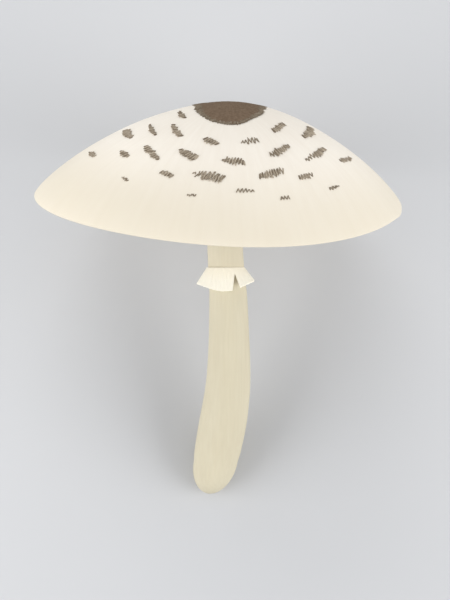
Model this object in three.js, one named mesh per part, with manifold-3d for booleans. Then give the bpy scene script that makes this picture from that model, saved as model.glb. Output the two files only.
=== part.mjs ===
// A parasol mushroom, picked and laid on its side: a broad cap with gills and scales, the dark skin of its
// crown, a stem with a swollen foot, and the loose ring round the stem.
//
// Millimetres, +Z up. The pieces are shaped in the mushroom's own frame, as it grows: +Z along the cap's axis
// with its origin at the level of the margin, -Y towards its front. The mushroom is then laid on its back, on
// the cap's margin and the foot of the stem, with the middle of its footprint at the origin.
import * as THREE from "three";
import { mergeVertices } from "three/addons/utils/BufferGeometryUtils.js";
import Module from "manifold-3d";

const wasm = await Module();
wasm.setup();
const { degToRad } = THREE.MathUtils;

// ---- Driving dimensions -------------------------------------------------------------------------------

// Cap: a bell-shaped dome, a little longer to its left, with a margin that rises and dips.
const CAP_RADIUS = 89.3;
const CAP_HEIGHT = 48.8;
const CAP_ROUNDNESS = 1.74;
const CAP_FULLNESS = 0.84;
const CAP_LOPSIDED = 0.064;
const CAP_TILT = 1.72;
const MARGIN_THICKNESS = 1.8;
// How far the margin rises and dips: all round, then in one wave round it, in two and in three.
const MARGIN_WAVES = [0.4, -0.92, 1.53, 0.7];
// How far the margin sags at its right-hand end, and where round the stem, in degrees from the right.
const SAG = 1.5;
const SAG_TURN = -10;
const SAG_SPREAD = 8;
const FLESH_AT_CROWN = 15;

// Gills: thin blades under the cap, free of the stem. Each tier is shorter, and stands between the last.
const GILL_THICKNESS = 0.8;
const GILL_EDGE_HEIGHT = 18;
const GILL_TIERS = [
  { count: 24, offset: 0.08, start: 14 },
  { count: 24, offset: 0.58, start: 36 },
  { count: 48, offset: 0.66, start: 60 },
];

// Crown: the unbroken dark skin over the middle of the cap, reaching furthest to the front.
// Its edge is [turn from the front in degrees, way out].
const CROWN_EDGE = [
  [-180, 21],
  [-150, 21.4],
  [-122, 20.7],
  [-108, 18.5],
  [-94, 17],
  [-82, 16.8],
  [-69, 18],
  [-52, 20.6],
  [-34, 23.3],
  [-17, 27.4],
  [-5, 29.2],
  [3, 28.5],
  [12, 26.4],
  [28, 22.7],
  [50, 19.1],
  [70, 16.9],
  [82, 16.1],
  [92, 16.2],
  [104, 17.3],
  [122, 19.8],
  [150, 21.2],
  [180, 21],
];
const CROWN_SKIN = 1.4;
const CROWN_RISE = 0.2;

// Scales: what is left of that skin further out, in rows round the crown.
// Each at the front is [turn from the front, way out, length, breadth, slant], and its angles are in degrees.
const SCALE_HEIGHT = 0.9;
const SCALES = [
  [-66, 25.6, 12.6, 3.1, 14],
  [-61.8, 41.1, 15, 2.3, 18],
  [-41.6, 38.3, 13.4, 3.4, 32],
  [-76.6, 48.5, 17, 4, 3],
  [-13.1, 43.1, 7.1, 4.2, 24],
  [11.6, 42, 9.1, 4.8, -12],
  [44.6, 33, 13.8, 3.7, -21],
  [71.3, 41.5, 23, 4.6, -6],
  [-76.6, 64.5, 12, 2.4, 0],
  [-55.1, 58.3, 8.4, 3.1, 13],
  [-41, 54.5, 14.4, 3.7, 24],
  [-22.3, 52.3, 10.2, 4.4, 25],
  [0.6, 54.8, 10.2, 4.7, 6],
  [27.8, 49.2, 14.2, 4.2, -22],
  [50.2, 54.3, 21.4, 4, -10],
  [71.3, 61.7, 17, 3.6, 4],
  [-41.9, 69.9, 5.4, 2, 12],
  [-26.6, 64.3, 6.4, 2.6, 15],
  [-9.7, 63.7, 14.2, 5.8, 7],
  [17.7, 61.7, 13.4, 4.6, -10],
  [33.4, 64.4, 8.7, 3, -8],
  [44.4, 71.5, 7.8, 2, -2],
  [-14, 73, 3.9, 1.5, -1],
  [5.4, 69.8, 8.4, 2.3, 0],
  [19.8, 73.4, 4.3, 2, -6],
];
// Behind, the rows go on round the crown between two turns that are as far from the front.
const SCALE_ROWS_BEHIND = [
  { count: 2, first: 136, out: 27, long: 13, broad: 3.4 },
  { count: 4, first: 122, out: 41, long: 12, broad: 3.7 },
  { count: 5, first: 117, out: 54, long: 14, broad: 4.2 },
  { count: 5, first: 113, out: 63, long: 12, broad: 3.6 },
  { count: 6, first: 108, out: 72, long: 6.5, broad: 1.8 },
];

// Stem: slim at the cap, swollen towards a round foot, and bent to the left low down.
const STEM_TOP = 40;
const STEM_FOOT_CENTRE = -133;
const STEM_FOOT_LENGTH = 17;
const STEM_RADII = [
  [-133, 11.1],
  [-127, 11.75],
  [-113, 12],
  [-99, 11.4],
  [-86, 10.8],
  [-59, 9.77],
  [-28, 8.78],
  [40, 8.4],
];
const STEM_SWAY = [
  [-150, -9.9],
  [-133, -7],
  [-108, -2.8],
  [-88, -0.6],
  [-60, -0.48],
  [-46, -0.79],
  [-40, -1.25],
  [-34, -1.71],
  [-28, -2],
  [-24, -2.22],
  [-15, -2.1],
  [6, -0.8],
  [40, 1.5],
];

// Ring: a flared skirt, loose on the stem, whose collar is lifted at the front. Its edge hangs lowest in
// front and on both sides behind, a little to the left, and is torn on its right almost to the collar.
const RING_TOP = -32.7;
const RING_BOTTOM = -40.4;
const RING_RADIUS = 14.2;
const RING_THICKNESS = 1.5;
const RING_GAP = 0.3;
const RING_TILT = 3;
const RING_LIFT = 2.3;
const RING_DIP = 0.9;
const RING_SHIFT = 0.2;
const RING_LEAN = 0.6;
const TEAR_TOP = { across: 4.14, height: -33.4 };
const TEAR_MOUTH = { left: 2, right: 7.25, height: -43 };

// Lying down: the stem's slope against the surface, and how far the flesh is pressed flat there.
const LYING_SLOPE = 29.1;
const LYING_HEIGHT = 76.75;

const GAP = 0.3;
const SEED = 20;

// ---- Helpers ------------------------------------------------------------------------------------------

// The same numbers between 0 and 1 on every run.
function seededRandom(seed) {
  let state = seed;
  return () => {
    state = (state * 1664525 + 1013904223) % 4294967296;
    return state / 4294967296;
  };
}

// Moves every point of a geometry.
function reshape(geometry, move) {
  const places = geometry.getAttribute("position");
  const point = new THREE.Vector3();
  for (let i = 0; i < places.count; i++) {
    move(point.fromBufferAttribute(places, i));
    places.setXYZ(i, point.x, point.y, point.z);
  }
  return geometry;
}

// A closed outline of [radius, height] pairs, running up its outside, turned about Z.
function turned(outline, sides) {
  const points = outline.map(([radius, height]) => new THREE.Vector2(radius, height));
  return new THREE.LatheGeometry(points, sides).rotateX(Math.PI / 2);
}

// A smooth function through [input, output] pairs in rising order of input.
function through(pairs) {
  const curve = new THREE.SplineCurve(pairs.map(([input, output]) => new THREE.Vector2(input, output)));
  const points = curve.getPoints(pairs.length * 12);
  return (input) => {
    const next = Math.max(1, points.findIndex((point) => point.x >= input));
    const [from, to] = [points[next - 1], points[next]];
    return THREE.MathUtils.mapLinear(input, from.x, to.x, from.y, to.y);
  };
}

// A closed geometry as a solid to join and cut.
function solid(geometry) {
  const bare = geometry.clone();
  bare.deleteAttribute("normal");
  bare.deleteAttribute("uv");
  const welded = mergeVertices(bare, 1e-4);
  const index = welded.index.array;
  const triVerts = [];
  for (let i = 0; i < index.length; i += 3) {
    const [a, b, c] = index.slice(i, i + 3);
    if (a !== b && b !== c && c !== a) triVerts.push(a, b, c);
  }
  const vertProperties = welded.getAttribute("position").array;
  const mesh = new wasm.Mesh({ numProp: 3, vertProperties, triVerts: new Uint32Array(triVerts) });
  return new wasm.Manifold(mesh);
}

function geometryOf(made) {
  const { vertProperties, triVerts } = made.getMesh();
  const geometry = new THREE.BufferGeometry();
  geometry.setAttribute("position", new THREE.BufferAttribute(vertProperties, 3));
  geometry.setIndex(new THREE.BufferAttribute(triVerts, 1));
  return geometry;
}

// ---- Cap ----------------------------------------------------------------------------------------------

const domeHeight = (radius, reach, height) =>
  height * Math.max(0, 1 - (radius / reach) ** CAP_ROUNDNESS) ** CAP_FULLNESS;
const skinHeight = (radius) => domeHeight(radius, CAP_RADIUS, CAP_HEIGHT);
const FLESH_RADIUS = CAP_RADIUS - MARGIN_THICKNESS;
const fleshHeight = (radius) => domeHeight(radius, FLESH_RADIUS, CAP_HEIGHT - FLESH_AT_CROWN);
const gillHeight = (radius) => GILL_EDGE_HEIGHT * (1 - (radius / FLESH_RADIUS) ** 1.8);

// A point on the even dome, lifted off it along its own slope's normal. Turn 0 is to the front.
function onDome(radius, turn, lift) {
  const step = 0.05;
  const slope = (skinHeight(radius + step) - skinHeight(Math.max(0, radius - step))) / (2 * step);
  const normal = new THREE.Vector2(-slope, 1).normalize();
  const out = radius + normal.x * lift;
  return new THREE.Vector3(out * Math.sin(turn), -out * Math.cos(turn), skinHeight(radius) + normal.y * lift);
}

// Makes what was built on an even dome lopsided, lets its margin rise and dip, and tilts it on the stem.
function growUnevenly(geometry) {
  const grown = reshape(geometry, (point) => {
    const turn = Math.atan2(point.y, point.x);
    const share = Math.hypot(point.x, point.y) / CAP_RADIUS;
    const stretch = 1 - CAP_LOPSIDED * Math.cos(turn);
    const wave = MARGIN_WAVES.reduce((sum, rise, waves) => sum + rise * Math.cos(waves * turn), 0);
    const sag = SAG * Math.exp(-(((THREE.MathUtils.radToDeg(turn) - SAG_TURN) / SAG_SPREAD) ** 2));
    point.x *= stretch;
    point.y *= stretch;
    point.z += (wave - sag) * share ** 5;
  });
  return grown.rotateY(degToRad(CAP_TILT));
}

// Steps outwards that close up towards the margin, where the dome turns steep.
function stepsOut(reach, steps) {
  return Array.from({ length: steps + 1 }, (_, i) => reach * Math.sin(((Math.PI / 2) * i) / steps));
}

function flesh() {
  const underside = stepsOut(FLESH_RADIUS, 4).map((radius) => [radius, fleshHeight(radius)]);
  const lip = [2, 1].map((i) => {
    const angle = (Math.PI * i) / 3;
    const half = MARGIN_THICKNESS / 2;
    return [CAP_RADIUS - half + half * Math.cos(angle), -half * Math.sin(angle)];
  });
  const skin = stepsOut(CAP_RADIUS, 10).map((radius) => [radius, skinHeight(radius)]);
  return turned([...underside, ...lip, ...skin.reverse()], 60);
}

function gill(start, turn) {
  const steps = 3;
  const middle = (radius) => (fleshHeight(radius) + skinHeight(radius)) / 2;
  const shape = new THREE.Shape();
  shape.moveTo(start, middle(start));
  shape.lineTo(start, (fleshHeight(start) + 2 * gillHeight(start)) / 3);
  for (let i = 1; i <= steps; i++) {
    const radius = THREE.MathUtils.lerp(start + 3, FLESH_RADIUS - 3, i / steps);
    shape.lineTo(radius, gillHeight(radius));
  }
  shape.lineTo(FLESH_RADIUS + MARGIN_THICKNESS / 2, 0.3);
  shape.lineTo(0.7 * CAP_RADIUS, middle(0.7 * CAP_RADIUS));
  return new THREE.ExtrudeGeometry(shape, { depth: GILL_THICKNESS, bevelEnabled: false })
    .translate(0, 0, -GILL_THICKNESS / 2)
    .rotateX(Math.PI / 2)
    .rotateZ(turn);
}

function gills() {
  return GILL_TIERS.flatMap(({ count, offset, start }) =>
    Array.from({ length: count }, (_, i) => gill(start, (2 * Math.PI * (i + offset)) / count)),
  );
}

// A thin plate on the dome. put(share, angle, isTop) gives the place of each point, from its middle outwards.
function plate(sides, put) {
  const outline = [[0, 0], [1, 0], [1, 1], [0, 1]];
  return reshape(turned(outline, sides), (point) => {
    point.copy(put(Math.hypot(point.x, point.y), Math.atan2(point.y, point.x), point.z > 0.5));
  });
}

// One ragged scale, lying across the slope and lifted at its lower edge.
function scale([turn, out, long, broad, slant], random) {
  const tilt = degToRad(slant);
  const sides = long > 12 ? 9 : 7;
  const ragged = Array.from({ length: sides }, () => 0.8 + 0.25 * random());
  return plate(sides, (share, angle, isTop) => {
    const side = Math.round((angle / (2 * Math.PI)) * sides + sides) % sides;
    const along = share * ragged[side] * (long / 2) * Math.cos(angle);
    const down = -share * ragged[side] * (broad / 2) * Math.sin(angle);
    const across = along * Math.cos(tilt) - down * Math.sin(tilt);
    const outwards = along * Math.sin(tilt) + down * Math.cos(tilt);
    const lift = SCALE_HEIGHT * (0.75 + (0.5 * down) / broad);
    return onDome(out + outwards, degToRad(turn) + across / out, isTop ? lift : -1);
  });
}

// A number between -0.5 and 0.5 that jumps about from step to step.
const wander = (step) => ((step * 0.618034) % 1) - 0.5;

function scales() {
  const places = [...SCALES];
  for (const { count, first, out, long, broad } of SCALE_ROWS_BEHIND) {
    for (let i = 0; i < count; i++) {
      const k = places.length;
      const turn = first + ((360 - 2 * first) * (i + 0.5 + 0.5 * wander(k))) / count;
      const size = 1 + 0.4 * wander(3 * k);
      const slant = -20 * Math.sin(degToRad(2 * turn));
      places.push([turn, out + 5 * wander(2 * k), long * size, broad * size, slant]);
    }
  }
  const random = seededRandom(SEED);
  return places.map((place) => scale(place, random));
}

// The crown's ragged edge, as a way out from the middle at each turn from the front.
const crownEdge = through(CROWN_EDGE);
const crownReach = (turn) =>
  crownEdge(THREE.MathUtils.radToDeg(turn)) + 0.3 * Math.sin(9 * turn) + 0.2 * Math.sin(14 * turn);

// The crown's skin, or the recess for it when grown by a margin.
function crownPlate(margin) {
  const outline = [0, 0.33, 0.67, 1].map((share) => [share, 0]);
  outline.push([1, 1], [0.67, 1], [0.33, 1], [0, 1]);
  return reshape(turned(outline, 41).rotateZ(0.05), (point) => {
    const share = Math.hypot(point.x, point.y);
    const turn = Math.atan2(point.x, -point.y);
    const lift = point.z > 0.5 ? CROWN_RISE + 5 * margin : CROWN_RISE - CROWN_SKIN - margin;
    point.copy(onDome(share * (crownReach(turn) + margin), turn, lift));
  });
}

function cap() {
  const pieces = [flesh(), ...gills(), ...scales()].map(solid);
  const whole = pieces.reduce((joined, piece) => joined.add(piece));
  const even = whole.subtract(solid(crownPlate(GAP)));
  return solid(growUnevenly(geometryOf(even))).subtract(stem(GAP));
}

// ---- Stem ---------------------------------------------------------------------------------------------

const stemRadius = through(STEM_RADII);
const stemSway = through(STEM_SWAY);

// Bends what stands straight on the Z axis to the stem's sway.
const sway = (geometry) => reshape(geometry, (point) => (point.x += stemSway(Math.min(point.z, STEM_TOP))));

// The stem, or the hole for it when grown by a margin.
function stem(margin) {
  const footSteps = 6;
  const shaftSteps = 18;
  const outline = [];
  for (let i = 0; i <= footSteps; i++) {
    const angle = (Math.PI / 2) * (i / footSteps);
    const radius = stemRadius(STEM_FOOT_CENTRE) * Math.sin(angle);
    outline.push([radius, STEM_FOOT_CENTRE - STEM_FOOT_LENGTH * Math.cos(angle)]);
  }
  for (let i = 1; i <= shaftSteps; i++) {
    const height = THREE.MathUtils.lerp(STEM_FOOT_CENTRE, STEM_TOP + margin, i / shaftSteps);
    outline.push([stemRadius(Math.min(height, STEM_TOP)) + margin, height]);
  }
  outline.push([0, STEM_TOP + margin]);
  return solid(sway(turned(outline, 28)));
}

// ---- Ring ---------------------------------------------------------------------------------------------

function ring() {
  const collar = stemRadius(RING_TOP) + RING_GAP;
  const outline = [
    [collar, RING_TOP - 2.5],
    [RING_RADIUS - RING_THICKNESS, RING_BOTTOM + 0.2],
    [RING_RADIUS - 0.6 * RING_THICKNESS, RING_BOTTOM - 0.2],
    [RING_RADIUS - 0.2, RING_BOTTOM],
    [RING_RADIUS, RING_BOTTOM + 0.4],
    [collar + 0.2, RING_TOP],
    [collar, RING_TOP - 0.2],
    [collar, RING_TOP - 2.5],
  ];
  const skirt = reshape(turned(outline, 40), (point) => {
    const flare = (Math.hypot(point.x, point.y) - collar) / (RING_RADIUS - collar);
    const turn = Math.atan2(point.x, -point.y);
    const lift = RING_LIFT * Math.cos(turn);
    const drop = RING_DIP * Math.cos(3 * turn) - point.x * Math.tan(degToRad(RING_TILT));
    point.z += (1 - flare) * lift - flare * drop;
    point.x -= RING_SHIFT + RING_LEAN * flare;
  });
  return solid(sway(skirt)).subtract(solid(sway(tear())));
}

// The wedge that is torn out of the ring's edge, from in front of the stem forwards.
function tear() {
  const shape = new THREE.Shape();
  shape.moveTo(TEAR_TOP.across, TEAR_TOP.height);
  shape.lineTo(TEAR_MOUTH.left, TEAR_MOUTH.height);
  shape.lineTo(TEAR_MOUTH.right, TEAR_MOUTH.height);
  const depth = 2 * RING_RADIUS;
  return new THREE.ExtrudeGeometry(shape, { depth, bevelEnabled: false }).rotateX(Math.PI / 2);
}

// ---- Laying the mushroom down -------------------------------------------------------------------------

const MATERIALS = {
  cap: new THREE.MeshStandardMaterial({ color: 0xf2ead9, roughness: 0.8, metalness: 0 }),
  crown: new THREE.MeshStandardMaterial({ color: 0x776655, roughness: 0.85, metalness: 0 }),
  stem: new THREE.MeshStandardMaterial({ color: 0xdfd5bc, roughness: 0.75, metalness: 0 }),
  ring: new THREE.MeshStandardMaterial({ color: 0xfdf5e4, roughness: 0.85, metalness: 0 }),
};

const mushroom = new THREE.Group();
mushroom.rotation.x = degToRad(LYING_SLOPE - 90);
mushroom.position.z = LYING_HEIGHT;
mushroom.updateMatrixWorld(true);
const surface = new THREE.BoxGeometry(500, 500, 60).translate(0, 0, -30);
surface.applyMatrix4(mushroom.matrixWorld.clone().invert());

// Adds a piece, pressed flat where it lies on the surface.
function lay(name, made) {
  const mesh = new THREE.Mesh(geometryOf(made.subtract(solid(surface))), MATERIALS[name]);
  mesh.name = name;
  mushroom.add(mesh);
}

lay("cap", cap());
lay("crown", solid(growUnevenly(crownPlate(0))));
lay("stem", stem(0));
lay("ring", ring());

const footprint = new THREE.Box3().setFromObject(mushroom, true).getCenter(new THREE.Vector3());
mushroom.position.x -= footprint.x;
mushroom.position.y -= footprint.y;

const part = new THREE.Group();
part.add(mushroom);

export default part;
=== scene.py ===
import math
import random

import bpy
import numpy as np
from mathutils import Matrix, Vector, noise


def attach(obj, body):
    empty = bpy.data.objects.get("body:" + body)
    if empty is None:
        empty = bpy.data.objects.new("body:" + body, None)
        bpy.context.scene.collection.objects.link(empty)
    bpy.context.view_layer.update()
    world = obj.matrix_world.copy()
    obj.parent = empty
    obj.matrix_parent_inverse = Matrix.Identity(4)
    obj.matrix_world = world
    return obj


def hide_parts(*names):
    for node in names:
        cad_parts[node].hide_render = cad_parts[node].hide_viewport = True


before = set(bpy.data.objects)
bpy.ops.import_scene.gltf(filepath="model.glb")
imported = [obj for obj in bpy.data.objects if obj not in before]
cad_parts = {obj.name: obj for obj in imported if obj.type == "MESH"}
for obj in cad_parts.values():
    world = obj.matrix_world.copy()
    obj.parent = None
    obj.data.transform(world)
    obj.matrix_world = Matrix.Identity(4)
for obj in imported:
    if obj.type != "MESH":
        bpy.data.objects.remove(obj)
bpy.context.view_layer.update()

# ---- Stem ------------------------------------------------------------------------------------------
# One length of long, pale, silky fibres that grows up into the flesh of the cap. It swells towards a
# round foot and bends to the left low down. It is smooth but for its fibres, and is painted paler
# above the ring: painted light that offsets the shade under the cap.

STEM_TOP = 40
FOOT_CENTRE = -133
FOOT_LENGTH = 17
# Heights, with half the stem's thickness there.
STEM_RADII = (
    (-133, 11.1),
    (-127, 11.75),
    (-113, 12),
    (-99, 11.4),
    (-86, 10.8),
    (-59, 9.77),
    (-28, 8.78),
    (40, 8.4),
)
# Heights, with how far the stem's middle stands to the right of the cap's there.
STEM_SWAY = (
    (-150, -9.9),
    (-133, -7),
    (-108, -2.8),
    (-88, -0.6),
    (-60, -0.48),
    (-46, -0.79),
    (-40, -1.25),
    (-34, -1.71),
    (-28, -2),
    (-24, -2.22),
    (-15, -2.1),
    (6, -0.8),
    (40, 1.5),
)
STEM_SIDES = 180
FOOT_STEPS = 21
SHAFT_STEPS = 129
# How many straight steps a smooth curve has between two of its knots, and how near each other points
# are welded, in millimetres.
CURVE_STEPS = 12
WELD = 0.002
# How much the fibres and the lumps swell the stem, and how fine they are round it and along it.
FIBRE_SWELL = 0.007
FIBRES_ROUND = 9
FIBRES_ALONG = 0.02
LUMP_SWELL = 0.014
LUMPS_ROUND = 1.4
LUMPS_ALONG = 0.04


def through(pairs):
    """A smooth curve through pairs of numbers: it takes the first of a pair and gives the second."""
    knots = np.array([pairs[0], *pairs, pairs[-1]], float)
    points = []
    for before, start, end, after in zip(knots, knots[1:], knots[2:], knots[3:]):
        for t in np.linspace(0, 1, CURVE_STEPS, endpoint=False):
            turning = t * (3 * start - before - 3 * end + after)
            bend = t * (2 * before - 5 * start + 4 * end - after + turning)
            points.append(start + t / 2 * (end - before + bend))
    places, values = np.array([*points, knots[-1]]).T
    return lambda place: np.interp(place, places, values)


stem_radius = through(STEM_RADII)
stem_sway = through(STEM_SWAY)


def turned(name, outline, sides):
    """Extrudes one point along an outline of radius and height, and spins the outline about Z."""
    bpy.ops.object.select_all(action="DESELECT")
    bpy.ops.mesh.primitive_plane_add(size=1)
    piece = bpy.context.object
    piece.name = name
    bpy.ops.object.mode_set(mode="EDIT")
    bpy.ops.mesh.merge(type="CENTER")
    bpy.ops.transform.translate(value=(outline[0][0], 0, outline[0][1]))
    for (radius, height), (next_radius, next_height) in zip(outline, outline[1:]):
        step = (next_radius - radius, 0, next_height - height)
        bpy.ops.mesh.extrude_vertices_move(TRANSFORM_OT_translate={"value": step})
    bpy.ops.mesh.select_all(action="SELECT")
    bpy.ops.mesh.spin(steps=sides, angle=2 * math.pi, center=(0, 0, 0), axis=(0, 0, 1))
    bpy.ops.mesh.select_all(action="SELECT")
    bpy.ops.mesh.remove_doubles(threshold=WELD)
    bpy.ops.mesh.normals_make_consistent(inside=False)
    bpy.ops.object.mode_set(mode="OBJECT")
    return piece


def reshape(piece, move):
    """Moves a piece's points: move takes their x, y and z, and gives back new ones."""
    places = np.empty(len(piece.data.vertices) * 3, np.float32)
    piece.data.vertices.foreach_get("co", places)
    x, y, z = places.reshape(-1, 3).T.astype(float)
    moved = np.stack(move(x, y, z), axis=1)
    piece.data.vertices.foreach_set("co", moved.astype(np.float32).ravel())
    piece.data.update()


def unevenness(x, y, z):
    """Smooth noise between about -1 and 1 at each place."""
    return np.array([noise.noise(place) for place in zip(x, y, z)])


stem_outline = [(0, FOOT_CENTRE - FOOT_LENGTH)]
for angle in np.linspace(0, math.pi / 2, FOOT_STEPS + 1)[1:]:
    reach = float(stem_radius(FOOT_CENTRE)) * math.sin(angle)
    stem_outline.append((reach, FOOT_CENTRE - FOOT_LENGTH * math.cos(angle)))
for height in np.linspace(FOOT_CENTRE, STEM_TOP, SHAFT_STEPS + 1)[1:]:
    stem_outline.append((float(stem_radius(height)), height))
stem_outline.append((0, STEM_TOP))
stem = turned("stem_shaft", stem_outline, STEM_SIDES)


def grow_stem(x, y, z):
    """Gives the shaft its fibres and lumps, and bends it."""
    turn = np.arctan2(y, x)
    across, along = np.cos(turn), np.sin(turn)
    fibres = unevenness(FIBRES_ROUND * across, FIBRES_ROUND * along, FIBRES_ALONG * z)
    lumps = unevenness(LUMPS_ROUND * across, LUMPS_ROUND * along, LUMPS_ALONG * z)
    swell = 1 + FIBRE_SWELL * fibres + LUMP_SWELL * lumps
    return x * swell + stem_sway(z), y * swell, z


reshape(stem, grow_stem)

# Each piece is shaped in millimetres as it grows, with +Z up the cap's axis from the level of the
# margin and -Y to its front. It is then laid down in metres with the whole mushroom, which rests on
# the margin and the foot.
LYING_SLOPE = 29.1
LYING_PLACE = (0.005655, 0.038933, 0.07675)
LYING_TURN = (math.radians(LYING_SLOPE - 90), 0, 0)
LYING_SCALE = (0.001, 0.001, 0.001)
LYING = Matrix.LocRotScale(
    Vector(LYING_PLACE), Matrix.Rotation(LYING_TURN[0], 3, "X"), Vector(LYING_SCALE)
)
CUT_PRECISION = 0.0000001
# Edges sharper than this many degrees stay sharp.
CREASE = 50


def only(piece):
    """Selects one piece and nothing else."""
    bpy.ops.object.select_all(action="DESELECT")
    piece.select_set(True)
    bpy.context.view_layer.objects.active = piece


def lay_down(piece):
    """Lays a finished piece down, cuts it flat at the surface, and smooths it up to its creases."""
    piece.data.transform(LYING)
    only(piece)
    if min(point.co.z for point in piece.data.vertices) < 0:
        bpy.ops.object.mode_set(mode="EDIT")
        bpy.ops.mesh.select_all(action="SELECT")
        bpy.ops.mesh.bisect(
            plane_co=(0, 0, 0),
            plane_no=(0, 0, 1),
            use_fill=True,
            clear_inner=True,
            threshold=CUT_PRECISION,
        )
        bpy.ops.object.mode_set(mode="OBJECT")
    bpy.ops.object.shade_smooth_by_angle(angle=math.radians(CREASE))


lay_down(stem)


def paint(red, green, blue):
    """A colour as a picture gives it, 0 to 255, in the light that it stands for."""
    shares = [share / 255 for share in (red, green, blue)]
    light = (((share + 0.055) / 1.055) ** 2.4 if share > 0.04 else share / 12.92 for share in shares)
    return (*light, 1)


class Finish:
    """A socket in a material's nodes. Sums on it add Math nodes, and node() adds any other node."""

    def __init__(self, tree, socket=None):
        self.tree = tree
        self.socket = socket

    def node(self, kind, settings=(), inputs=(), output=0):
        made = self.tree.nodes.new("ShaderNode" + kind)
        for name, value in dict(settings).items():
            setattr(made, name, value)
        for name, value in dict(inputs).items():
            if isinstance(value, Finish):
                self.tree.links.new(value.socket, made.inputs[name])
            else:
                made.inputs[name].default_value = value
        return Finish(self.tree, made.outputs[output])

    def sum(self, operation, *values):
        return self.node("Math", {"operation": operation}, enumerate(values))

    def __add__(self, other):
        return self.sum("ADD", self, other)

    __radd__ = __add__

    def __sub__(self, other):
        return self.sum("SUBTRACT", self, other)

    def __rsub__(self, other):
        return self.sum("SUBTRACT", other, self)

    def __mul__(self, other):
        return self.sum("MULTIPLY", self, other)

    __rmul__ = __mul__

    def __truediv__(self, other):
        return self.sum("DIVIDE", self, other)

    def __rtruediv__(self, other):
        return self.sum("DIVIDE", other, self)

    def __pow__(self, other):
        return self.sum("POWER", self, other)

    def rise(self, start, end):
        """0 below start, 1 above end, and a smooth rise between them."""
        smooth = {"interpolation_type": "SMOOTHSTEP"}
        return self.node("MapRange", smooth, {0: self, 1: start, 2: end})

    def tint(self, low, high):
        """A colour between two, each painted or from nodes, with this as the share of the second."""
        low, high = (tone if isinstance(tone, Finish) else paint(*tone) for tone in (low, high))
        return self.node("Mix", {"data_type": "RGBA"}, {0: self, 6: low, 7: high}, 2)

    def mixed(self, other, share):
        """A mix of this pattern and another, with the other's share of it."""
        return self * (1 - share) + other * share

    def grain(self, place, fineness, detail):
        """Noise at a place of three coordinates, as fine along each as its fineness says."""
        across, along, up = (at * fine for at, fine in zip(place, fineness))
        place = self.node("CombineXYZ", (), {0: across, 1: along, 2: up})
        return self.node("TexNoise", (), {"Vector": place, "Scale": 1.0, "Detail": detail})


DOWN_ROUGHNESS = 0.6


def new_finish(name, roughness, gloss, down):
    """A dry material with a little gloss and fine down, and x, y and z in millimetres as it grows."""
    material = bpy.data.materials.new(name)
    material.use_nodes = True
    surface = material.node_tree.nodes["Principled BSDF"]
    surface.inputs["Roughness"].default_value = roughness
    surface.inputs["Specular IOR Level"].default_value = gloss
    surface.inputs["Sheen Weight"].default_value = down
    surface.inputs["Sheen Roughness"].default_value = DOWN_ROUGHNESS
    finish = Finish(material.node_tree)
    own = finish.node("TexCoord", output="Object")
    lying = {"Vector": own, "Location": LYING_PLACE, "Rotation": LYING_TURN, "Scale": LYING_SCALE}
    place = finish.node("Mapping", {"vector_type": "TEXTURE"}, lying)
    x, y, z = (finish.node("SeparateXYZ", (), {0: place}, axis) for axis in "XYZ")
    return material, finish, x, y, z


def surface_of(finish, colour, height, depth):
    """Puts a colour and a relief of some depth, in metres, on the surface."""
    surface = finish.tree.nodes["Principled BSDF"]
    finish.tree.links.new(colour.socket, surface.inputs["Base Color"])
    bump = finish.node("Bump", (), {"Strength": 1.0, "Distance": depth, "Height": height})
    finish.tree.links.new(bump.socket, surface.inputs["Normal"])


# Each silk has a darker and a paler colour, and one silk changes to the other behind the ring. The
# paler silk above the ring is painted light that offsets the shade under the cap. Each pattern has its
# fineness across the stem, twice, and along it. The clouds have a share of the mix.
SILK_BELOW_RING = ((201, 192, 167), (208, 200, 176))
PAINTED_LIGHT_ABOVE_RING = ((208, 198, 173), (215, 206, 182))
SILK_CHANGE = (-42, -34)
SILK_STREAKS = (0.9, 0.9, 0.035)
SILK_FIBRES = (3.2, 3.2, 0.06)
SILK_CLOUDS = (0.06, 0.06, 0.03)
SILK_CLOUDY = 0.5
SILK_CONTRAST = (0.25, 0.75)
SILK_FIBRE_RELIEF = 0.6
SILK_RELIEF = 0.00014

stem_silk, finish, x, y, z = new_finish("stem_silk", roughness=0.62, gloss=0.25, down=0.05)
streaks = finish.grain((x, y, z), SILK_STREAKS, detail=4)
fibres = finish.grain((x, y, z), SILK_FIBRES, detail=3)
clouds = finish.grain((x, y, z), SILK_CLOUDS, detail=2)
patchy = streaks.mixed(clouds, SILK_CLOUDY).rise(*SILK_CONTRAST)
below_ring = patchy.tint(*SILK_BELOW_RING)
# Painted light: the stem is painted paler above the ring to offset the shade under the cap.
painted_light_above_ring = patchy.tint(*PAINTED_LIGHT_ABOVE_RING)
silk = z.rise(*SILK_CHANGE).tint(below_ring, painted_light_above_ring)
surface_of(finish, silk, fibres * SILK_FIBRE_RELIEF + streaks, SILK_RELIEF)
stem.data.materials.append(stem_silk)
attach(stem, "root")
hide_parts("stem")

# ---- Cap -------------------------------------------------------------------------------------------
# The flesh of the cap: a broad dome of soft white flesh with a thin cream skin, thick over the stem
# and thinning to a rounded lip at the margin. The skin is lightly fibrous, and sinks under the crown.

CAP_RADIUS = 89.3
CAP_HEIGHT = 48.8
CAP_ROUNDNESS = 1.74
CAP_FULLNESS = 0.84
CAP_LOPSIDED = 0.064
CAP_TILT = math.radians(1.72)
CAP_SIDES = 480
SKIN_STEPS = 105
LIP_STEPS = 8
UNDERSIDE_STEPS = 36
MARGIN_THICKNESS = 1.8
# How far the margin rises and dips: all round, then in one wave round it, in two and in three. They
# grow outwards as this power of the way out.
MARGIN_WAVES = (0.4, -0.92, 1.53, 0.7)
WAVE_GROWTH = 5
# How far the margin sags at its right-hand end, and where round the cap, in degrees from the right.
SAG = 1.5
SAG_TURN = -10
SAG_SPREAD = 8
FLESH_AT_CROWN = 15
FLESH_RADIUS = CAP_RADIUS - MARGIN_THICKNESS
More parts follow.
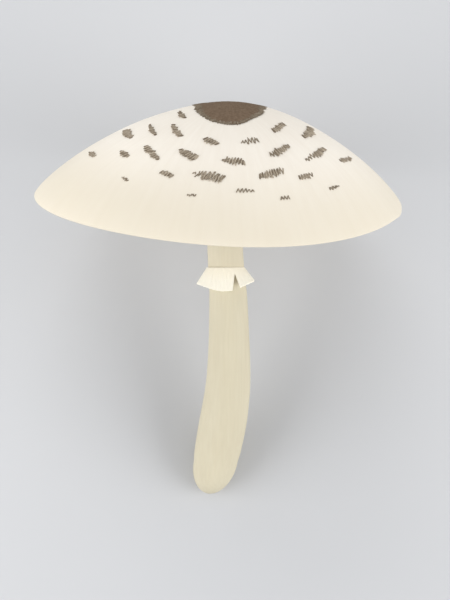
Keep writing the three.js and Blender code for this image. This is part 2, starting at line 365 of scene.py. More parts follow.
# The edge of the crown's skin: a turn from the front in degrees, and the way out to it there. It is
# uneven by so much, so many times round it.
CROWN_EDGE = (
    (-180, 21),
    (-150, 21.4),
    (-122, 20.7),
    (-108, 18.5),
    (-94, 17),
    (-82, 16.8),
    (-69, 18),
    (-52, 20.6),
    (-34, 23.3),
    (-17, 27.4),
    (-5, 29.2),
    (3, 28.5),
    (12, 26.4),
    (28, 22.7),
    (50, 19.1),
    (70, 16.9),
    (82, 16.1),
    (92, 16.2),
    (104, 17.3),
    (122, 19.8),
    (150, 21.2),
    (180, 21),
)
CROWN_UNEVEN = ((0.3, 9), (0.2, 14))
# How deep the skin sinks under the crown, and how broad the step down is.
CROWN_SUNK = 0.7
CROWN_STEP = 1.5
# The skin's fibres: their height, how fine they are round the cap and outwards, and the way out by
# which they have their full height. Its swells: their height and how fine they are.
SKIN_FIBRE_RISE = 0.06
SKIN_FIBRES_ROUND = 24
SKIN_FIBRES_OUT = 0.04
SKIN_FIBRES_FULL = 40
SKIN_SWELL_RISE = 0.28
SKIN_SWELLS = 0.045
# What lies no deeper than this under the even dome is skin.
SKIN_DEPTH = 0.1


def dome_height(radius, reach, height):
    """The height of an even dome over its rim, at a radius."""
    return height * np.maximum(0, 1 - (radius / reach) ** CAP_ROUNDNESS) ** CAP_FULLNESS


def skin_height(radius):
    """The height of the outside of the cap."""
    return dome_height(radius, CAP_RADIUS, CAP_HEIGHT)


def flesh_height(radius):
    """The height of the underside, where the gills are rooted."""
    return dome_height(radius, FLESH_RADIUS, CAP_HEIGHT - FLESH_AT_CROWN)


crown_edge = through(CROWN_EDGE)


def crown_reach(turn):
    """How far the crown's skin reaches from the middle, at a turn from the front."""
    return crown_edge(np.degrees(turn)) + sum(rise * np.sin(k * turn) for rise, k in CROWN_UNEVEN)


def grow_unevenly(x, y, z):
    """Makes what stands on an even dome longer to its left, wavy at the margin, and tilted."""
    turn = np.arctan2(y, x)
    stretch = 1 - CAP_LOPSIDED * np.cos(turn)
    wave = sum(rise * np.cos(waves * turn) for waves, rise in enumerate(MARGIN_WAVES))
    wave -= SAG * np.exp(-(((np.degrees(turn) - SAG_TURN) / SAG_SPREAD) ** 2))
    raised = z + wave * (np.hypot(x, y) / CAP_RADIUS) ** WAVE_GROWTH
    across = x * stretch
    along = across * math.cos(CAP_TILT) + raised * math.sin(CAP_TILT)
    return along, y * stretch, raised * math.cos(CAP_TILT) - across * math.sin(CAP_TILT)


def steps_out(reach, steps):
    """Steps outwards that close up towards the margin, where the dome turns steep."""
    return reach * np.sin(np.linspace(0, math.pi / 2, steps + 1))


cap_outline = [(radius, skin_height(radius)) for radius in steps_out(CAP_RADIUS, SKIN_STEPS)]
lip = MARGIN_THICKNESS / 2
for angle in np.linspace(0, math.pi, LIP_STEPS + 1)[1:-1]:
    cap_outline.append((CAP_RADIUS - lip + lip * math.cos(angle), -lip * math.sin(angle)))
for radius in steps_out(FLESH_RADIUS, UNDERSIDE_STEPS)[::-1]:
    cap_outline.append((radius, flesh_height(radius)))
cap = turned("cap_flesh", cap_outline, CAP_SIDES)


def grow_skin(x, y, z):
    """Gives the skin its fibres and swells, sinks it under the crown, and grows the cap unevenly."""
    radius = np.hypot(x, y)
    turn = np.arctan2(x, -y)
    is_skin = z > skin_height(radius) - SKIN_DEPTH
    under_crown = np.clip((crown_reach(turn) - radius) / CROWN_STEP, 0, 1)
    side, front = SKIN_FIBRES_ROUND * np.sin(turn), SKIN_FIBRES_ROUND * np.cos(turn)
    fibres = unevenness(side, front, SKIN_FIBRES_OUT * radius)
    fibres *= np.clip(radius / SKIN_FIBRES_FULL, 0, 1)
    swells = unevenness(SKIN_SWELLS * x, SKIN_SWELLS * y, SKIN_SWELLS * z)
    lift = SKIN_FIBRE_RISE * fibres + SKIN_SWELL_RISE * swells - CROWN_SUNK * under_crown
    return grow_unevenly(x, y, z + np.where(is_skin, lift, 0))


reshape(cap, grow_skin)
lay_down(cap)

# The skin is cream on top and darker and yellower lower down, and changes between these ways out from
# the middle. The darker tone there is partly the skin's own and partly painted shade that offsets the
# stronger light on the margin.
# Its streaks and fibres run outwards, and their fineness is round the cap, twice, and outwards.
SKIN_CREAM = ((238, 230, 217), (242, 235, 223))
IVORY_AND_SHADE = ((220, 210, 190), (227, 219, 202))
SKIN_CHANGE = (50, 88)
SKIN_STREAKS = (26, 26, 0.05)
SKIN_THREADS = (90, 90, 0.12)
SKIN_CLOUDS = (0.035, 0.035, 0.035)
CREAM_CLOUDY = 0.4
CREAM_CONTRAST = (0.3, 0.7)
IVORY_SHADE_CLOUDY = 0.5
SKIN_THREAD_RELIEF = 0.5
SKIN_RELIEF = 0.0001

cap_skin, finish, x, y, z = new_finish("cap_skin", roughness=0.7, gloss=0.2, down=0.05)
radius = (x * x + y * y) ** 0.5
outwards = (x / radius, y / radius, radius)
streaks = finish.grain(outwards, SKIN_STREAKS, detail=4)
threads = finish.grain(outwards, SKIN_THREADS, detail=3)
clouds = finish.grain((x, y, z), SKIN_CLOUDS, detail=3)
cream = streaks.mixed(clouds, CREAM_CLOUDY).rise(*CREAM_CONTRAST).tint(*SKIN_CREAM)
# Partly painted shade: the margin is painted darker to offset the stronger light that falls on it.
ivory_and_shade = streaks.mixed(clouds, IVORY_SHADE_CLOUDY).tint(*IVORY_AND_SHADE)
skin = radius.rise(*SKIN_CHANGE).tint(cream, ivory_and_shade)
surface_of(finish, skin, threads * SKIN_THREAD_RELIEF + streaks, SKIN_RELIEF)
cap.data.materials.append(cap_skin)
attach(cap, "root")
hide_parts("cap")

# ---- Gills -----------------------------------------------------------------------------------------
# Thin pale blades of flesh that hang from the underside of the cap, edge down, free of the stem. Each
# tier is shorter than the last and stands between its blades. They are soft, so each wanders a little.

GILL_THICKNESS = 0.42
# How many steps a blade has along it, which are spaced as this power of the way along.
GILL_STEPS = 14
GILL_SPACING = 0.8
# Each tier is how many blades, how far they are turned as a share of a step, and the radius they
# start at.
GILL_TIERS = ((60, 0, 14), (60, 0.5, 37), (120, 0.5, 60))
# How unevenly the blades stand, as a share of a step, and how far out the shorter ones may start.
GILL_UNEVEN = 0.08
GILL_LATE_START = 6
# The lower edge: its height at the middle, how round it is, and how far it rises where a blade starts,
# over what share of the blade.
GILL_EDGE_HEIGHT = 18
GILL_EDGE_ROUNDNESS = 1.8
GILL_START_RISE = 5
GILL_START_SHARE = 1 / 6
# How deep the blades are rooted, and how far they stop short of the lip.
GILL_ROOT = 0.7
GILL_SHORT = 0.6
# The scallops along the lower edge and the blade's wander, each with how many radians to a
# millimetre. Both start anywhere in their waves, and the wander sets in over a share of the blade.
GILL_SCALLOP = 0.25
GILL_SCALLOPS = 0.5
GILL_WANDER = (0.3, 0.9)
GILL_WANDERS = 0.11
GILL_PHASE = (0, 6.3)
GILL_WANDER_SHARE = 1 / 3


def gill_edge(radius):
    """The height of a blade's lower edge."""
    return GILL_EDGE_HEIGHT * (1 - (radius / FLESH_RADIUS) ** GILL_EDGE_ROUNDNESS)


bpy.ops.object.select_all(action="DESELECT")
bpy.ops.mesh.primitive_grid_add(x_subdivisions=GILL_STEPS, y_subdivisions=1, size=1)
blade = bpy.context.object
bpy.ops.object.modifier_add(type="SOLIDIFY")
blade.modifiers[0].thickness = GILL_THICKNESS
blade.modifiers[0].offset = 0
bpy.ops.object.modifier_apply(modifier=blade.modifiers[0].name)


def hang_gill(start, turn, stray, phase):
    """A function that takes the flat blade to its place under the cap."""

    def hang(x, y, z):
        along = x + 0.5
        radius = start + (FLESH_RADIUS - GILL_SHORT - start) * along**GILL_SPACING
        rounded = GILL_START_RISE * np.maximum(0, 1 - along / GILL_START_SHARE) ** 2
        scallops = GILL_SCALLOP * np.sin(radius * GILL_SCALLOPS + phase) * (1 - along)
        edge = gill_edge(radius) + rounded + scallops
        height = edge + (flesh_height(radius) + GILL_ROOT - edge) * (y + 0.5)
        wander = stray * np.sin(radius * GILL_WANDERS + phase)
        aside = wander * (0.5 - y) * np.minimum(1, along / GILL_WANDER_SHARE) - z
        return (
            radius * math.sin(turn) + aside * math.cos(turn),
            aside * math.sin(turn) - radius * math.cos(turn),
            height,
        )

    return hang


chance = random.Random(11)
hung = []
for tier, (count, offset, start) in enumerate(GILL_TIERS):
    for i in range(count):
        gill = blade.copy()
        gill.data = blade.data.copy()
        bpy.context.collection.objects.link(gill)
        turn = 2 * math.pi * (i + offset + chance.uniform(-GILL_UNEVEN, GILL_UNEVEN)) / count
        late = chance.uniform(0, GILL_LATE_START) * (tier > 0)
        stray = chance.uniform(*GILL_WANDER)
        phase = chance.uniform(*GILL_PHASE)
        reshape(gill, hang_gill(start + late, turn, stray, phase))
        hung.append(gill)
bpy.data.objects.remove(blade)


def joined(name, pieces):
    """Joins pieces that are alike into one."""
    only(pieces[0])
    for piece in pieces:
        piece.select_set(True)
    bpy.ops.object.join()
    pieces[0].name = name
    return pieces[0]


gills = joined("gill_blades", hung)
reshape(gills, grow_unevenly)
lay_down(gills)

# The flesh gets paler outwards, by a share for each millimetre, and in blotches.
GILL_PALE = ((240, 229, 208), (248, 241, 229))
GILL_PALER_OUT = 0.004
GILL_BLOTCHES = 0.6
GILL_CONTRAST = (0.2, 0.8)
GILL_GRAIN = (0.25, 0.25, 0.25)
GILL_RELIEF = 0.0001

gill_flesh, finish, x, y, z = new_finish("gill_flesh", roughness=0.65, gloss=0.2, down=0.05)
radius = (x * x + y * y) ** 0.5
soft = finish.grain((x, y, z), GILL_GRAIN, detail=3)
paler = (radius * GILL_PALER_OUT + soft * GILL_BLOTCHES).rise(*GILL_CONTRAST)
surface_of(finish, paler.tint(*GILL_PALE), soft, GILL_RELIEF)
gills.data.materials.append(gill_flesh)
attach(gills, "root")
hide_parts("cap")

# ---- Crown -----------------------------------------------------------------------------------------
# The skin over the middle of the cap, which stays whole as the cap opens: a thin brown felt, smooth in
# the middle, whose edge has torn into short fibres that point outwards and lie on the paler skin.

CROWN_LIFT = 0.12
CROWN_ROOT = 1
CROWN_SIDES = 260
# The felt's outline as a plate of radius and thickness 1: its flat top, its rim and its underside.
CROWN_FLAT = 0.96
CROWN_STEPS = 43
CROWN_RIM = ((0.99, 0.85), (1, 0.5), (0.99, 0))
CROWN_UNDER = 0.9
CROWN_UNDER_STEPS = 9
# How far to each side the dome's slope is measured.
SLOPE_REACH = 0.05
# How far the felt stops short of the ends of its fibres, and how much further where it has come
# apart. That is most of all at a turn in degrees from the front, and it fades away from there.
FELT_SHORT = 0.8
FRAYED_SHORT = 1.5
FRAYED_TURN = -62
FRAYED_SPREAD = 14
# How far in and out the felt's edge is torn, how fine the tears are round it, and the power of the
# way out by which they grow towards the edge.
FELT_TORN = 0.6
FELT_TEARS = 12
FELT_TORN_GROWTH = 4
# The felt's tufts, each with their height and how fine they are over the whole crown.
FELT_TUFTS = ((0.12, 22), (0.08, 60))


def on_dome(radius, turn, lift):
    """The place at a radius and a turn from the front, lifted off the even dome, square to it."""
    near, far = np.maximum(0, radius - SLOPE_REACH), radius + SLOPE_REACH
    slope = (skin_height(far) - skin_height(near)) / (2 * SLOPE_REACH)
    leans = 1 / np.hypot(slope, 1)
    out = radius - slope * leans * lift
    return out * np.sin(turn), -out * np.cos(turn), skin_height(radius) + leans * lift


def frayed(turn):
    """How far the crown's edge has come apart into loose fibres, from 0 to 1."""
    return np.exp(-(((np.degrees(turn) - FRAYED_TURN) / FRAYED_SPREAD) ** 2))


crown_outline = [(share, 1) for share in np.linspace(0, CROWN_FLAT, CROWN_STEPS + 1)]
crown_outline += CROWN_RIM
crown_outline += [(share, 0) for share in np.linspace(CROWN_UNDER, 0, CROWN_UNDER_STEPS + 1)]
crown = turned("crown_felt", crown_outline, CROWN_SIDES)


def spread_crown(x, y, z):
    """Takes the round plate to the crown's own edge, and lays it on the dome with its felt."""
    share = np.hypot(x, y)
    turn = np.arctan2(x, -y)
    flat = 0 * turn
    torn = FELT_TORN * unevenness(FELT_TEARS * np.sin(turn), FELT_TEARS * np.cos(turn), flat)
    torn -= FRAYED_SHORT * frayed(turn)
    reach = crown_reach(turn) - FELT_SHORT + torn * share**FELT_TORN_GROWTH
    felt = sum(rise * unevenness(x * fine, y * fine, flat) for rise, fine in FELT_TUFTS)
    return on_dome(share * reach, turn, z * (CROWN_ROOT + CROWN_LIFT + felt) - CROWN_ROOT)


reshape(crown, spread_crown)
reshape(crown, grow_unevenly)
lay_down(crown)

bpy.ops.object.select_all(action="DESELECT")
bpy.ops.mesh.primitive_uv_sphere_add(segments=8, ring_count=6, radius=0.5)
bpy.ops.object.mode_set(mode="EDIT")
bpy.ops.transform.rotate(value=math.pi / 2, orient_axis="X", center_override=(0, 0, 0))
bpy.ops.object.mode_set(mode="OBJECT")
strand = bpy.context.object

# A fibre's ends are broader and fuller and its tip is narrower than the round shape that it is made
# from, and it stands a little out of the skin.
STRAND_BLUNT = 0.4
STRAND_FULLNESS = 0.8
STRAND_TAPER = 0.2
STRAND_PROUD = 0.25


def lay_strand(out, turn, long, broad, lean, tip, height, tone):
    """A copy of the one short fibre, laid on the dome: its root is inwards, its tip is lifted."""
    fibre = strand.copy()
    fibre.data = strand.data.copy()
    bpy.context.collection.objects.link(fibre)

    def lay(x, y, z):
        along = -2 * y
        to_tip = np.maximum(0, along)
        width = x * broad * (1 - STRAND_TAPER * to_tip) * (1 + STRAND_BLUNT * np.abs(along))
        down = -long * np.sign(y) * np.abs(2 * y) ** STRAND_FULLNESS / 2
        across = width * math.cos(lean) - down * math.sin(lean)
        outwards = width * math.sin(lean) + down * math.cos(lean)
        lift = z * height + STRAND_PROUD * height + tip * to_tip**2
        return on_dome(out + outwards, turn + across / out, lift)

    reshape(fibre, lay)
    tones = fibre.data.attributes.new("tone", "FLOAT", "POINT")
    tones.data.foreach_set("value", np.full(len(fibre.data.vertices), tone, np.float32))
    return fibre


FRINGE_STRANDS = 360
FRINGE_UNEVEN = 0.4
FRINGE_TIP = 0.1
FRINGE_HEIGHT = 0.4
# The fibres' length, and how much is added where the edge has come apart and how many are lost there.
FRINGE_LENGTH = (1.6, 3.2)
FRAYED_LENGTH = 1.6
FRAYED_LOSS = 0.55
# How much of a fibre lies inside the crown's edge, and how much that place and the lean vary.
FRINGE_INSIDE = 0.45
FRINGE_STRAY = 0.42
FRINGE_LEAN = 0.4
FRINGE_BREADTH = (0.6, 0.95)
FRINGE_TONE = (0, 0.35)

chance = random.Random(5)
fringe = []
for i in range(FRINGE_STRANDS):
    place = i + chance.uniform(-FRINGE_UNEVEN, FRINGE_UNEVEN)
    turn = math.radians(360 * place / FRINGE_STRANDS - 180)
    if chance.random() < FRAYED_LOSS * frayed(turn):
        continue
    long = chance.uniform(*FRINGE_LENGTH) + FRAYED_LENGTH * frayed(turn)
    out = float(crown_reach(turn)) - FRINGE_INSIDE * long + chance.gauss(0, FRINGE_STRAY)
    lean = chance.gauss(0, FRINGE_LEAN)
    broad = chance.uniform(*FRINGE_BREADTH)
    tone = chance.uniform(*FRINGE_TONE)
    fringe.append(lay_strand(out, turn, long, broad, lean, FRINGE_TIP, FRINGE_HEIGHT, tone))
fringe = joined("crown_fringe", fringe)
reshape(fringe, grow_unevenly)
lay_down(fringe)

CROWN_BROWN = ((106, 88, 71), (127, 108, 89))
CROWN_FELT = (0.9, 0.9, 0.9)
CROWN_SPOKES = (14, 14, 0.15)
CROWN_SPOKY = 0.4
CROWN_CONTRAST = (0.3, 0.7)
CROWN_RELIEF = 0.0003

crown_brown, finish, x, y, z = new_finish("crown_brown", roughness=0.85, gloss=0.1, down=0)
radius = (x * x + y * y) ** 0.5
felt = finish.grain((x, y, z), CROWN_FELT, detail=4)
spokes = finish.grain((x / radius, y / radius, radius), CROWN_SPOKES, detail=3)
brown = felt.mixed(spokes, CROWN_SPOKY).rise(*CROWN_CONTRAST).tint(*CROWN_BROWN)
surface_of(finish, brown, felt, CROWN_RELIEF)
crown.data.materials.append(crown_brown)
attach(crown, "root")
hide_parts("crown")

# Each fibre has its own tone between these two, from 0 to 1, and is flecked with others.
SCALE_DRAB = ((118, 105, 88), (192, 179, 160))
SCALE_FLECKED = 0.5
SCALE_FLECKS = (1.3, 1.3, 1.3)
SCALE_RELIEF = 0.0002

scale_brown, finish, x, y, z = new_finish("scale_brown", roughness=0.85, gloss=0.1, down=0)
tone = finish.node("Attribute", {"attribute_name": "tone"}, output="Fac")
flecks = finish.grain((x, y, z), SCALE_FLECKS, detail=3)
drab = (tone + flecks * SCALE_FLECKED - SCALE_FLECKED / 2).rise(0, 1).tint(*SCALE_DRAB)
surface_of(finish, drab, flecks, SCALE_RELIEF)
fringe.data.materials.append(scale_brown)
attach(fringe, "root")
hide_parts("crown")

# ---- Scales ----------------------------------------------------------------------------------------
# Scraps of the same brown skin, pulled apart as the cap opens: each is a band of short fibres that lie
# side by side down the slope, grown on at their roots and lifted at their tips, some of them apart.

# Each is turn from the front, way out, length, breadth, slant, the share that is loose, from the left
# if it is below zero, and how broad its left and its right end are as a share of its breadth.
SCALES = (
    (-66, 25.6, 12.6, 3.1, 14, -0.5, 0.4, 0.5),
    (-61.8, 41.1, 15, 2.3, 18, 0, 0.3, 0.7),
    (-41.6, 38.3, 13.4, 3.4, 32, 0, 0.5, 0.7),
    (-76.6, 48.5, 17, 4, 3, 0, 0.8, 0.5),
    (-13.1, 43.1, 7.1, 4.2, 24, 0, 0.9, 0.9),
    (11.6, 42, 9.1, 4.8, -12, 1, 0.4, 0.9),
    (44.6, 33, 13.8, 3.7, -21, 0.2, 1, 1),
    (71.3, 41.5, 23, 4.6, -6, 0, 0.6, 0.7),
    (-76.6, 64.5, 12, 2.4, 0, -0.3, 0.1, 0.6),
    (-55.1, 58.3, 8.4, 3.1, 13, 0, 0.3, 0.7),
    (-41, 54.5, 14.4, 3.7, 24, 0, 0.7, 0.4),
    (-22.3, 52.3, 10.2, 4.4, 25, 0, 0.5, 0.9),
    (0.6, 54.8, 10.2, 4.7, 6, 0, 0.3, 0.7),
    (27.8, 49.2, 14.2, 4.2, -22, -0.2, 0.7, 0.5),
    (50.2, 54.3, 21.4, 4, -10, -0.4, 0.5, 0.7),
    (71.3, 61.7, 17, 3.6, 4, 0.7, 0.6, 0.3),
    (-41.9, 69.9, 5.4, 2, 12, 1, 0, 0.4),
    (-26.6, 64.3, 6.4, 2.6, 15, 0, 0.9, 1),
    (-9.7, 63.7, 14.2, 5.8, 7, -0.3, 0.2, 0.8),
    (17.7, 61.7, 13.4, 4.6, -10, 0.2, 0.7, 0.8),
    (33.4, 64.4, 8.7, 3, -8, 0.3, 0.8, 0.9),
    (44.4, 71.5, 7.8, 2, -2, 1, 0.9, 0.1),
    (-14, 73, 3.9, 1.5, -1, 1, 0.5, 0.8),
    (5.4, 69.8, 8.4, 2.3, 0, 1, 1, 0.6),
    (19.8, 73.4, 4.3, 2, -6, 1, 0.9, 1),
)
# Behind, where the rows go on round the crown: how many, from which turn, way out, length and
# breadth. They vary in place, in size and in how loose they are, and slant as the ones in front do.
SCALE_ROWS_BEHIND = (
    (2, 136, 27, 13, 3.4),
    (4, 122, 41, 12, 3.7),
    (5, 117, 54, 14, 4.2),
    (5, 113, 63, 12, 3.6),
    (6, 108, 72, 6.5, 1.8),
)
BEHIND_TURN_VARIES = 0.5
BEHIND_OUT_VARIES = 5
BEHIND_SIZE_VARIES = 0.4
BEHIND_SLANT = -20
BEHIND_LOOSE = (0, 0.3, 0, -0.3)
BEHIND_END = 0.6
NARROW_SCALE = 2
GOLDEN_RATIO = 0.618034
# How far from a scale's left end its first fibre is, how far apart they are, tight and loose, and the
# range of their breadths.
FIRST_STRAND = 0.2
TIGHT_PITCH = 0.65
LOOSE_PITCH = 0.8
PITCH_VARIES = (0.85, 1.15)
TIGHT_BREADTH = (0.76, 0.98)
LOOSE_BREADTH = (0.5, 0.64)
# They are coarser towards the cap's sides, up to where the turn's cosine is this.
COARSEST_COSINE = 0.6
# Their lengths and places as shares of the scale's breadth, which narrows to its ends by this power
# of the way out, and how they lean, each to its other side than the last by up to a limit.
SCALE_NARROWS = 1.5
STRAND_REACH = (0.7, 1.1)
STRAND_STRAY = 0.07
STRAND_LEAN = math.radians(9)
STRAND_LEAN_VARIES = 0.1
ZIGZAG_LIMIT = 0.4
# Their tones, where in a tight part every other fibre is darker.
TIGHT_TONE = (0.25, 0.6)
ZIGZAG_TONE = 0.2
LOOSE_TONE = (0.15, 0.5)
SCALE_TIP = 0.3
SCALE_HEIGHT = 0.6
LOOSE_HEIGHT = 0.4


def wander(step):
    """A number between -0.5 and 0.5 that jumps about from step to step."""
    return step * GOLDEN_RATIO % 1 - 0.5


scales = list(SCALES)
for count, first, out, long, broad in SCALE_ROWS_BEHIND:
    for i in range(count):
        k = len(scales)
        step = (i + 0.5 + BEHIND_TURN_VARIES * wander(k)) / count
        turn = first + (360 - 2 * first) * step
        out_here = out + BEHIND_OUT_VARIES * wander(2 * k)
        size = 1 + BEHIND_SIZE_VARIES * wander(3 * k)
        slant = BEHIND_SLANT * math.sin(math.radians(2 * turn))
        loose = BEHIND_LOOSE[k % len(BEHIND_LOOSE)] if broad > NARROW_SCALE else 1
        ends = (BEHIND_END, BEHIND_END)
        scales.append((turn, out_here, long * size, broad * size, slant, loose, *ends))

chance = random.Random(8)
tufts = []
for turn, out, long, broad, slant, loose, left, right in scales:
    slant = math.radians(slant)
    coarse = 1 / max(COARSEST_COSINE, abs(math.cos(math.radians(turn))))
    at = FIRST_STRAND - long / 2
    zigzag = 1
    while at < long / 2:
        share = at / long + 0.5
        is_loose = share > 1 - loose if loose > 0 else share < -loose
        end = left if share < 0.5 else right
        narrowed = 1 - (1 - end) * abs(2 * share - 1) ** SCALE_NARROWS
        reach = broad * narrowed * chance.uniform(*STRAND_REACH)
        pitch = (LOOSE_PITCH if is_loose else TIGHT_PITCH) * coarse
        lean = slant + STRAND_LEAN + chance.gauss(0, STRAND_LEAN_VARIES)
        lean += zigzag * min(ZIGZAG_LIMIT, pitch / reach)
        here = out + at * math.sin(slant) + chance.gauss(0, STRAND_STRAY) * broad
        there = math.radians(turn) + at * math.cos(slant) / here
        width = coarse * chance.uniform(*(LOOSE_BREADTH if is_loose else TIGHT_BREADTH))
        height = LOOSE_HEIGHT if is_loose else SCALE_HEIGHT
        tone = chance.uniform(*(LOOSE_TONE if is_loose else TIGHT_TONE))
        tone -= 0 if is_loose else ZIGZAG_TONE * zigzag
        tufts.append(lay_strand(here, there, reach, width, lean, SCALE_TIP, height, tone))
        at += pitch * chance.uniform(*PITCH_VARIES)
        zigzag = -zigzag
tufts = joined("cap_scales", tufts)
bpy.data.objects.remove(strand)
reshape(tufts, grow_unevenly)
lay_down(tufts)
tufts.data.materials.append(scale_brown)
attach(tufts, "root")
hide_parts("cap")

# ---- Ring ------------------------------------------------------------------------------------------
# What is left of the veil that joined the margin to the stem: a loose, flared skirt of pale felt round
# the stem, hanging lower in front, finely pleated, and torn there from its edge almost to its collar.

RING_TOP = -32.7
RING_BOTTOM = -40.4
RING_RADIUS = 14.2
RING_THICKNESS = 1.5
RING_GAP = 0.3
RING_SIDES = 260
RING_STEP = 0.45
# The collar is higher in front by the lift. The skirt dips in some waves round it, and its edge is
# tilted, with its left side lower.
RING_LIFT = 2.3
RING_DIP = 0.9
RING_DIPS = 3
RING_TILT = math.tan(math.radians(3))
# How far left of the stem's middle the collar hangs, and how much further its edge does.
RING_SHIFT = 0.2
RING_LEAN = 0.6
# The frayed edge: its size, how fine it is round the ring, and the power of the flare by which it
# grows. The pleats: their size as a share, their number, and how unevenly they stand.
RING_FRAY = 0.25
RING_FRAYS = 16
RING_FRAY_GROWTH = 3
RING_PLEAT = 0.012
RING_PLEATS = 34
RING_PLEATS_UNEVEN = 3
RING_COLLAR = float(stem_radius(RING_TOP)) + RING_GAP
# The corners of the tear, across and in height: its top, and the left and the right of its mouth.
TEAR = ((4.14, -33.4), (2, -43), (7.25, -43))

# The ring's section, by radius and height: from below the collar down the inside of the skirt, which
# is hollowed by so much, round its edge, and up the outside and over the collar.
RING_HOLLOW = 1.1
COLLAR_DEPTH = 2.5
middle = (RING_COLLAR + RING_RADIUS) / 2 - RING_HOLLOW
ring_corners = (
    (RING_COLLAR, RING_TOP - COLLAR_DEPTH),
    (middle, (RING_TOP + RING_BOTTOM) / 2 - RING_HOLLOW),
    (RING_RADIUS - RING_THICKNESS, RING_BOTTOM + 0.2),
    (RING_RADIUS - 0.6 * RING_THICKNESS, RING_BOTTOM - 0.2),
    (RING_RADIUS - 0.2, RING_BOTTOM),
    (RING_RADIUS, RING_BOTTOM + 0.4),
    (RING_COLLAR + 0.2, RING_TOP),
    (RING_COLLAR - 0.15, RING_TOP - 0.05),
    (RING_COLLAR - 0.05, RING_TOP - 0.5),
)
ring_outline = []
for corner, after in zip(ring_corners, ring_corners[1:] + ring_corners[:1]):
    steps = max(1, round(math.dist(corner, after) / RING_STEP))
    for i in range(steps):
        ring_outline.append(tuple(a + (b - a) * i / steps for a, b in zip(corner, after)))
ring_outline.append(ring_corners[0])
ring = turned("ring_skirt", ring_outline, RING_SIDES)


def hang_ring(x, y, z):
    """Lifts the collar in front, hangs, frays and pleats the skirt, and bends it with the stem."""
    flare = (np.hypot(x, y) - RING_COLLAR) / (RING_RADIUS - RING_COLLAR)
    turn = np.arctan2(x, -y)
    lift = RING_LIFT * np.cos(turn)
    drop = RING_DIP * np.cos(RING_DIPS * turn) - x * RING_TILT
    frays = unevenness(RING_FRAYS * np.sin(turn), RING_FRAYS * np.cos(turn), 0 * z)
    folds = RING_PLEATS * turn + RING_PLEATS_UNEVEN * np.sin(3 * turn)
    pleats = 1 + RING_PLEAT * flare * np.sin(folds)
    hung = z + (1 - flare) * lift - flare * drop + RING_FRAY * frays * flare**RING_FRAY_GROWTH
    aside = stem_sway(hung) - RING_SHIFT - RING_LEAN * flare
    return x * pleats + aside, y * pleats, hung


reshape(ring, hang_ring)

bpy.ops.object.select_all(action="DESELECT")
bpy.ops.mesh.primitive_cylinder_add(vertices=3, radius=1, depth=1)
wedge = bpy.context.object


def open_wedge(x, y, z):
    """Takes the cylinder's three sides to the corners of the tear, from the stem's middle on."""
    third = 2 * math.pi / 3
    corner = np.round((np.arctan2(x, y) % (2 * math.pi)) / third).astype(int) % 3
    across, height = np.array(TEAR)[corner].T
    return across + stem_sway(height), np.where(z > 0, 0, -2 * RING_RADIUS), height


reshape(wedge, open_wedge)
only(wedge)
bpy.ops.object.mode_set(mode="EDIT")
bpy.ops.mesh.select_all(action="SELECT")
bpy.ops.mesh.normals_make_consistent(inside=False)
bpy.ops.object.mode_set(mode="OBJECT")
only(ring)
bpy.ops.object.modifier_add(type="BOOLEAN")
ring.modifiers[0].operation = "DIFFERENCE"
ring.modifiers[0].object = wedge
bpy.ops.object.modifier_apply(modifier=ring.modifiers[0].name)
bpy.data.objects.remove(wedge)
lay_down(ring)

# The veil gets paler outwards from a radius, by a share for each millimetre. Its pleats run out from
# the ring's middle, which is as far left of the cap's as the stem is there.
VEIL_PALE = ((253, 245, 225), (254, 249, 233))
VEIL_PALE_FROM = 10.4
VEIL_PALER_OUT = 0.25
VEIL_PLEATED = 0.5
VEIL_MIDDLE = -2.1
VEIL_PLEATS = (16, 16, 0.08)
VEIL_FELT = (1.4, 1.4, 1.4)
VEIL_FELT_RELIEF = 0.5
VEIL_RELIEF = 0.0003

ring_felt, finish, x, y, z = new_finish("ring_felt", roughness=0.8, gloss=0.2, down=0.1)
across = x - VEIL_MIDDLE
radius = (across * across + y * y) ** 0.5
pleats = finish.grain((across / radius, y / radius, z), VEIL_PLEATS, detail=3)
felt = finish.grain((x, y, z), VEIL_FELT, detail=3)
paler = radius * VEIL_PALER_OUT - VEIL_PALE_FROM * VEIL_PALER_OUT
veil = (paler + pleats * VEIL_PLEATED).rise(0, 1).tint(*VEIL_PALE)
surface_of(finish, veil, pleats + felt * VEIL_FELT_RELIEF, VEIL_RELIEF)
ring.data.materials.append(ring_felt)
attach(ring, "root")
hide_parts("ring")

# ---- Studio ----------------------------------------------------------------------------------------
# A plain pale floor under soft lights from three sides and an even sky, and the camera that looks down
# on it, square to the stem and a little above the level of the cap's margin.

FLOOR_SIZE = 12
FLOOR_DROP = 0.0002
FLOOR_GREY = ((196, 197, 199), (200, 201, 203))
FLOOR_GRAIN = 60
FLOOR_ROUGHNESS = 0.9
FLOOR_RELIEF = 0.0001
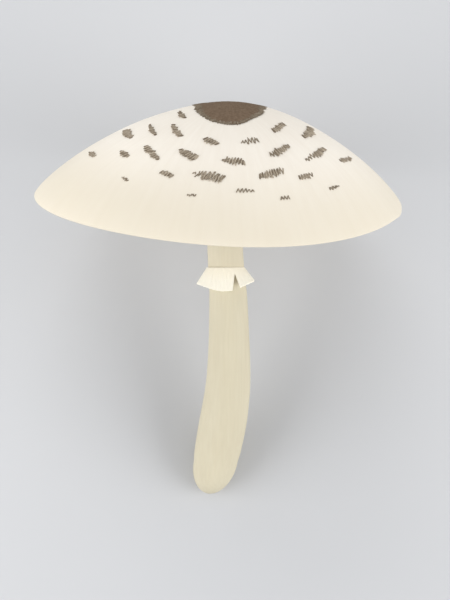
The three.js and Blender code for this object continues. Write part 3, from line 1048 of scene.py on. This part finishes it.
# Each light's name, place, size and power.
LIGHTS = (
    ("light_left", (-1.34, -0.45, 0.73), 1.5, 18.5),
    ("light_right", (1.38, -0.55, 0.77), 1.5, 20),
    ("light_back", (-0.4, 1.5, 1.0), 1.4, 9),
)
SKY_COLOUR = (0.97, 0.98, 1, 1)
SKY_STRENGTH = 0.6
CAMERA_TARGET = Vector((0.003284, -0.004056, 0.052823))
CAMERA_SIDE = Vector((0, -0.2540, 0.9672))
CAMERA_DISTANCE = 0.98768
CAMERA_LENS = 120
CAMERA_SENSOR = 36

bpy.ops.object.select_all(action="DESELECT")
bpy.ops.mesh.primitive_plane_add(size=FLOOR_SIZE, location=(0, 0, -FLOOR_DROP))
floor = bpy.context.object
floor.name = "floor"
floor_paper = bpy.data.materials.new("floor_paper")
floor_paper.use_nodes = True
paper = floor_paper.node_tree.nodes["Principled BSDF"]
paper.inputs["Roughness"].default_value = FLOOR_ROUGHNESS
finish = Finish(floor_paper.node_tree)
grain = finish.node("TexNoise", (), {"Scale": FLOOR_GRAIN, "Detail": 3})
surface_of(finish, grain.tint(*FLOOR_GREY), grain, FLOOR_RELIEF)
floor.data.materials.append(floor_paper)

for name, place, size, power in LIGHTS:
    light = bpy.data.lights.new(name, "AREA")
    light.shape = "DISK"
    light.size = size
    light.energy = power
    lamp = bpy.data.objects.new(name, light)
    lamp.location = place
    lamp.rotation_euler = (-Vector(place)).to_track_quat("-Z", "Y").to_euler()
    bpy.context.collection.objects.link(lamp)

scene = bpy.context.scene
world = bpy.data.worlds.new("studio_air")
world.use_nodes = True
sky = world.node_tree.nodes["Background"]
sky.inputs["Color"].default_value = SKY_COLOUR
sky.inputs["Strength"].default_value = SKY_STRENGTH
scene.world = world
scene.view_settings.view_transform = "Standard"

view = bpy.data.cameras.new("camera")
view.lens = CAMERA_LENS
view.sensor_width = CAMERA_SENSOR
camera = bpy.data.objects.new("camera", view)
camera.location = CAMERA_TARGET + CAMERA_SIDE.normalized() * CAMERA_DISTANCE
camera.rotation_euler = (-CAMERA_SIDE).to_track_quat("-Z", "Y").to_euler()
bpy.context.collection.objects.link(camera)
scene.camera = camera
